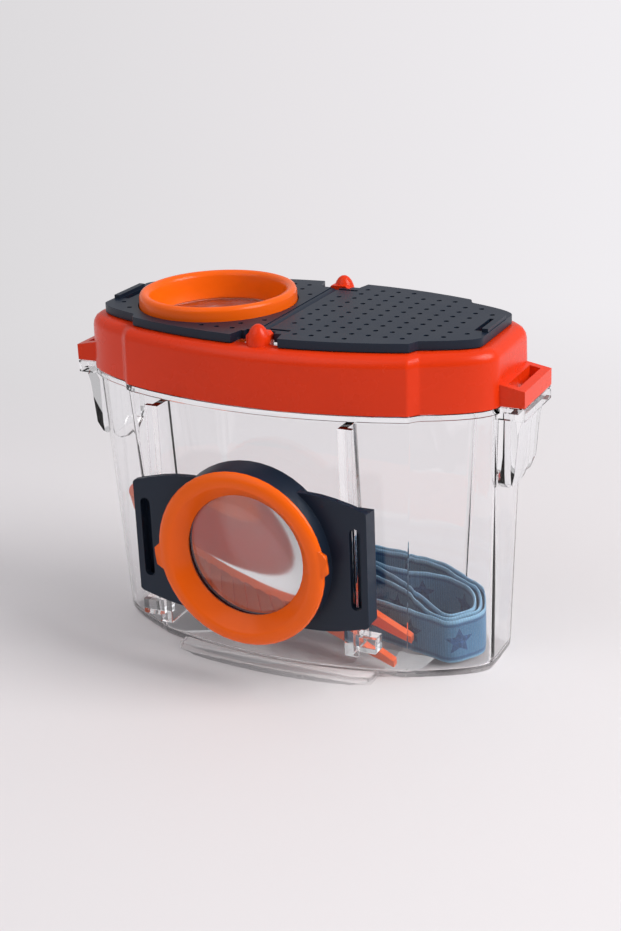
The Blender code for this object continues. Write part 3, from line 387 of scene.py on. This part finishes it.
def strapRoute():
    middle, half = strapShape["middle"], strapShape["half"]
    stations = [Vector((middle[0] + half[0] * across, middle[1] + half[1] * back))
                for loop in strapLoops for across, back in loop]
    padded = [stations[0] * 2 - stations[1]] + stations + [stations[-1] * 2 - stations[-2]]
    route = []
    steps = strapShape["stepsPerStation"]
    for index in range(1, len(padded) - 2):
        before, start, end, after = padded[index - 1:index + 3]
        for step in range(steps):
            t = step / steps
            bend = (start * 2 + (end - before) * t + (before * 2 - start * 5 + end * 4 - after) * t ** 2
                    + (start * 3 - before - end * 3 + after) * t ** 3)
            route.append(bend / 2)
    route.append(stations[-1])
    return route


class Band:
    # the strap's middle line by its length, and its place in the tub
    def __init__(self):
        self.points = strapRoute()
        self.marks = [0.0]
        for before, after in zip(self.points, self.points[1:]):
            self.marks.append(self.marks[-1] + (after - before).length)
        self.length = self.marks[-1]
        pivot = Vector((0.0, strapShape["tiltY"], strapShape["low"]))
        self.tilt = (Matrix.Translation(pivot)
                     @ Matrix.Rotation(math.radians(strapShape["tilt"]), 4, "X")
                     @ Matrix.Translation(-pivot))

    def at(self, along):
        along = min(max(along, 0.0), self.length)
        low, high = 0, len(self.marks) - 1
        while high - low > 1:
            middle = (low + high) // 2
            if self.marks[middle] <= along:
                low = middle
            else:
                high = middle
        start, end = self.points[low], self.points[low + 1]
        share = (along - self.marks[low]) / (self.marks[low + 1] - self.marks[low])
        before = self.points[max(low - 1, 0)]
        after = self.points[min(low + 2, len(self.points) - 1)]
        direction = ((end - before) * (1 - share) + (after - start) * share).normalized()
        return start + (end - start) * share, Vector((-direction.y, direction.x))

    def put(self, along, height, away):
        point, side = self.at(along)
        flat = point + side * away
        return self.tilt @ Vector((flat.x, flat.y, strapShape["low"] + height))


def strapSection():
    # height share, side and depth share of the points round the band, with rolled edges
    inward = (0.0, 0.35, 0.75, 0.95, 1.0, 0.98, 1.0, 1.0, 1.0, 1.0, 0.98, 1.0, 0.95, 0.75, 0.35)
    heights = (0.0, 0.004, 0.015, 0.035, 0.07, 0.13, 0.2, 0.35, 0.5, 0.65, 0.8, 0.93, 0.965, 0.985, 0.996)
    front = [(height, 1, depth) for height, depth in zip(heights, inward)]
    back = [(1 - height, -1, depth) for height, depth in zip(heights, inward)]
    return front + back


def strapMesh(band):
    section = strapSection()
    step = strapShape["ribPitch"] / strapShape["stepsPerRib"]
    count = int(band.length / step)
    uvPitch = strapShape["ribPitch"] * strapShape["ribsPerUv"]
    work = bmesh.new()
    layer = work.loops.layers.uv.new("band")
    rows = []
    for index in range(count + 1):
        along = band.length * index / count
        rib = 0.5 - 0.5 * math.cos(2 * math.pi * along / strapShape["ribPitch"])
        wave = strapShape["rippleRise"] * math.sin(2 * math.pi * along / strapShape["ripplePitch"])
        row = []
        for height, side, depth in section:
            thick = strapShape["thick"] / 2 - strapShape["ribDepth"] * (1 - rib)
            rise = height * strapShape["width"] + wave * height * height
            away = side * thick * max(depth, strapShape["leastDepthShare"])
            row.append(work.verts.new(band.put(along, rise, away)))
        rows.append((along, row))
    for (startAlong, start), (endAlong, end) in zip(rows, rows[1:]):
        for index in range(len(section)):
            after = (index + 1) % len(section)
            face = work.faces.new((start[index], start[after], end[after], end[index]))
            face.smooth = True
            corners = ((startAlong, index), (startAlong, after), (endAlong, after), (endAlong, index))
            for loop, (along, place) in zip(face.loops, corners):
                loop[layer].uv = (along / uvPitch, section[place][0])
    work.faces.new(rows[0][1])
    work.faces.new(rows[-1][1])
    bmesh.ops.recalc_face_normals(work, faces=work.faces)
    mesh = bpy.data.meshes.new("elastic_band")
    work.to_mesh(mesh)
    work.free()
    return mesh


elasticLook = {
    "body": (0.072, 0.185, 0.33, 1.0),
    "light": (0.21, 0.40, 0.58, 1.0),
    "line": (0.035, 0.10, 0.22, 1.0),
    "star": (0.022, 0.055, 0.13, 1.0),
    "roughness": 0.85,
    "sheen": 0.25,
    "sheenRoughness": 0.4,
    "yarnScale": 900.0,
    "yarnDetail": 3.0,
    "yarnStrength": 0.5,
    "yarnDepth": 0.1 * mm,
    "yarnTone": (0.8, 1.2),
    "blotchScale": 60.0,
    "blotchTone": (0.85, 1.15),
    "ribTone": (0.86, 1.12),
    "starPale": 2.4,
    "starFrom": 0.35,
    "starTo": 0.8,
}


def elasticMaterial():
    made = Shading("steel-blue elastic")
    coordinates = made.add("ShaderNodeUVMap", uv_map="band")
    parts = made.add("ShaderNodeSeparateXYZ")
    made.link(coordinates.outputs["UV"], parts.inputs["Vector"])
    body, light, line = elasticLook["body"], elasticLook["light"], elasticLook["line"]
    bands = made.ramp(parts.outputs["Y"], (0.0, light), (0.05, light), (0.07, body), (0.10, line),
                      (0.13, line), (0.16, body), (0.84, body), (0.865, line), (0.895, line),
                      (0.92, body), (0.95, light), (1.0, light))
    turns = made.math("MULTIPLY", parts.outputs["X"], 2 * math.pi * strapShape["ribsPerUv"])
    ribs = made.math("SINE", turns, 0.0)
    where = made.place()
    yarn = made.noise(where, elasticLook["yarnScale"], elasticLook["yarnDetail"])
    blotch = made.noise(where, elasticLook["blotchScale"], elasticLook["yarnDetail"])
    tone = made.math("MULTIPLY", made.spread(ribs, *elasticLook["ribTone"]),
                     made.spread(blotch, *elasticLook["blotchTone"]))
    tone = made.math("MULTIPLY", tone, made.spread(yarn, *elasticLook["yarnTone"]))
    mixed = made.add("ShaderNodeVectorMath", operation="SCALE")
    made.link(bands, mixed.inputs[0])
    made.link(tone, mixed.inputs["Scale"])
    made.link(mixed.outputs["Vector"], made.shader.inputs["Base Color"])
    made.bump(yarn, elasticLook["yarnStrength"], elasticLook["yarnDepth"])
    made.set(Roughness=elasticLook["roughness"], Sheen_Weight=elasticLook["sheen"],
             Sheen_Roughness=elasticLook["sheenRoughness"])
    return made.material


def starMaterial():
    made = Shading("woven star")
    where = made.place()
    yarn = made.noise(where, elasticLook["yarnScale"], elasticLook["yarnDetail"])
    star = elasticLook["star"]
    pale = tuple(channel * elasticLook["starPale"] for channel in star[:3]) + (1.0,)
    made.link(made.ramp(yarn, (elasticLook["starFrom"], star), (elasticLook["starTo"], pale)),
              made.shader.inputs["Base Color"])
    made.bump(yarn, elasticLook["yarnStrength"], elasticLook["yarnDepth"])
    made.set(Roughness=elasticLook["roughness"])
    return made.material


def starPoints():
    # the ten corners of a plain five-pointed star
    outline = []
    for corner in range(10):
        radius = strapShape["starRadius"] * (1.0 if corner % 2 == 0 else strapShape["starInnerShare"])
        angle = math.pi / 2 + corner * math.pi / 5
        outline.append(Vector((radius * math.cos(angle), radius * math.sin(angle))))
    return outline


def starsMesh(band):
    # each star is a thin sheet on the band's face, in rings of points so that it bends with the band
    work = bmesh.new()
    outline = starPoints()
    steps = strapShape["starSteps"]
    count = int(band.length / strapShape["starPitch"])
    for star in range(count):
        middle = (star + 0.5) * strapShape["starPitch"]
        for side in (1, -1):
            away = side * (strapShape["thick"] / 2 + strapShape["starLift"])
            rings = []
            for share in strapShape["starRings"]:
                ring = []
                for start, end in zip(outline, outline[1:] + outline[:1]):
                    for part in range(steps):
                        spot = start.lerp(end, part / steps) * share
                        height = strapShape["width"] / 2 + spot.y
                        ring.append(work.verts.new(band.put(middle + spot.x, height, away)))
                rings.append(ring)
            centre = work.verts.new(band.put(middle, strapShape["width"] / 2, away))
            around = len(rings[0])
            for index in range(around):
                after = (index + 1) % around
                work.faces.new((centre, rings[0][index], rings[0][after]))
                for inner, outer in zip(rings, rings[1:]):
                    work.faces.new((inner[index], outer[index], outer[after], inner[after]))
    mesh = bpy.data.meshes.new("strap_stars")
    work.to_mesh(mesh)
    work.free()
    return mesh


band = Band()
strap = bpy.data.objects.new("elastic_band", strapMesh(band))
bpy.context.scene.collection.objects.link(strap)
strap.data.materials.append(elasticMaterial())
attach(strap, "strap")
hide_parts("elastic_strap")
stars = bpy.data.objects.new("strap_stars", starsMesh(band))
bpy.context.scene.collection.objects.link(stars)
stars.data.materials.append(starMaterial())
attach(stars, "strap")
print("strap made: %.1f mm long" % (band.length / mm))

# Floor, studio light and world
stageLook = {
    "floorSize": 12.0,
    "floor": (0.80, 0.775, 0.79, 1.0),
    "floorDark": (0.785, 0.76, 0.775, 1.0),
    "farLeft": (0.715, 0.700, 0.715, 1.0),
    "farMiddle": (0.800, 0.775, 0.795, 1.0),
    "farRight": (0.870, 0.850, 0.875, 1.0),
    "farFrom": 0.13,
    "farTo": 0.42,
    "cameraDepth": 0.479,
    "toneSpread": 2.6,
    "mottleScale": 2.0,
    "mottleDetail": 3.0,
    "mottleFrom": 0.3,
    "mottleTo": 0.7,
    "grainScale": 700.0,
    "grainDetail": 2.0,
    "grainStrength": 0.03,
    "grainDepth": 0.1 * mm,
    "roughness": 0.55,
    "specular": 0.25,
    "keyPlace": (0.95, 0.05, 0.85),
    "keySize": 0.8,
    "keyPower": 13.0,
    "keyColour": (1.0, 0.985, 0.97),
    "fillPlace": (-0.55, -0.95, 1.25),
    "fillSize": 1.5,
    "fillPower": 4.5,
    "fillColour": (0.97, 0.98, 1.0),
    "lightAim": (0.0, 0.0, 0.05),
    "world": 0.52,
    "worldFacing": (-0.55, 0.75, 0.75),
    "worldFrom": 0.15,
    "worldTo": 0.5,
    "worldPale": (0.97, 0.96, 0.98, 1.0),
    "worldDark": (0.16, 0.155, 0.165, 1.0),
}


def makeFloor():
    bpy.ops.mesh.primitive_plane_add(size=stageLook["floorSize"], location=(0, 0, 0))
    floor = bpy.context.active_object
    floor.name = "floor"
    made = Shading("pale floor")
    where = made.place()
    mottle = made.noise(where, stageLook["mottleScale"], stageLook["mottleDetail"])
    made.link(made.ramp(mottle, (stageLook["mottleFrom"], stageLook["floorDark"]),
                        (stageLook["mottleTo"], stageLook["floor"])), made.shader.inputs["Base Color"])
    grain = made.noise(where, stageLook["grainScale"], stageLook["grainDetail"])
    made.bump(grain, stageLook["grainStrength"], stageLook["grainDepth"])
    made.set(Roughness=stageLook["roughness"], Specular_IOR_Level=stageLook["specular"])
    # away from the object the floor is a backdrop with an even tone, a little darker on the left
    parts = made.add("ShaderNodeSeparateXYZ")
    made.link(where, parts.inputs["Vector"])
    x, y = parts.outputs["X"], parts.outputs["Y"]
    turn = math.radians(cameraLook["azimuth"])
    across = made.math("ADD", made.math("MULTIPLY", x, math.cos(turn)),
                       made.math("MULTIPLY", y, math.sin(turn)))
    depth = made.math("SUBTRACT", made.math("MULTIPLY", y, math.cos(turn)),
                      made.math("MULTIPLY", x, math.sin(turn)))
    slope = made.math("DIVIDE", across, made.math("ADD", depth, stageLook["cameraDepth"]))
    spread = made.math("MULTIPLY", slope, stageLook["toneSpread"])
    tone = made.ramp(made.math("ADD", spread, 0.5), (0.0, stageLook["farLeft"]),
                     (0.5, stageLook["farMiddle"]), (1.0, stageLook["farRight"]))
    away = made.add("ShaderNodeVectorMath", operation="LENGTH")
    made.link(where, away.inputs[0])
    far = made.add("ShaderNodeMapRange", interpolation_type="SMOOTHSTEP")
    far.inputs["From Min"].default_value = stageLook["farFrom"]
    far.inputs["From Max"].default_value = stageLook["farTo"]
    made.link(away.outputs["Value"], far.inputs["Value"])
    path = made.add("ShaderNodeLightPath")
    seen = made.math("MAXIMUM", path.outputs["Is Camera Ray"], path.outputs["Is Glossy Ray"])
    seen = made.math("MAXIMUM", seen, path.outputs["Is Transmission Ray"])
    glow = made.add("ShaderNodeEmission")
    made.link(tone, glow.inputs["Color"])
    both = made.add("ShaderNodeMixShader")
    made.link(made.math("MULTIPLY", far.outputs["Result"], seen), both.inputs["Fac"])
    made.link(made.shader.outputs["BSDF"], both.inputs[1])
    made.link(glow.outputs["Emission"], both.inputs[2])
    made.link(both.outputs["Shader"], made.tree.nodes["Material Output"].inputs["Surface"])
    floor.data.materials.append(made.material)


def areaLight(name, place, size, power, colour):
    data = bpy.data.lights.new(name, "AREA")
    data.shape = "DISK"
    data.size = size
    data.energy = power
    data.color = colour
    light = bpy.data.objects.new(name, data)
    bpy.context.scene.collection.objects.link(light)
    light.location = place
    light.rotation_mode = "QUATERNION"
    aim = Vector(stageLook["lightAim"]) - Vector(place)
    light.rotation_quaternion = aim.to_track_quat("-Z", "Y")


def makeWorld():
    # a pale studio, darker on the camera's side, so that fronts keep their full colour
    world = bpy.data.worlds.new("studio")
    bpy.context.scene.world = world
    world.use_nodes = True
    tree = world.node_tree
    background = tree.nodes["Background"]
    coordinates = tree.nodes.new("ShaderNodeTexCoord")
    facing = tree.nodes.new("ShaderNodeVectorMath")
    facing.operation = "DOT_PRODUCT"
    facing.inputs[1].default_value = stageLook["worldFacing"]
    ramp = tree.nodes.new("ShaderNodeValToRGB")
    spread = tree.nodes.new("ShaderNodeMapRange")
    spread.inputs["From Min"].default_value = -1.0
    ramp.color_ramp.elements[0].position = stageLook["worldFrom"]
    ramp.color_ramp.elements[0].color = stageLook["worldDark"]
    ramp.color_ramp.elements[1].position = stageLook["worldTo"]
    ramp.color_ramp.elements[1].color = stageLook["worldPale"]
    tree.links.new(coordinates.outputs["Generated"], facing.inputs[0])
    tree.links.new(facing.outputs["Value"], spread.inputs["Value"])
    tree.links.new(spread.outputs["Result"], ramp.inputs["Fac"])
    tree.links.new(ramp.outputs["Color"], background.inputs["Color"])
    background.inputs["Strength"].default_value = stageLook["world"]


makeFloor()
for name in ("key", "fill"):
    areaLight(name, stageLook[name + "Place"], stageLook[name + "Size"], stageLook[name + "Power"],
              stageLook[name + "Colour"])
makeWorld()
bpy.context.scene.view_settings.view_transform = "Standard"
print("stage made")
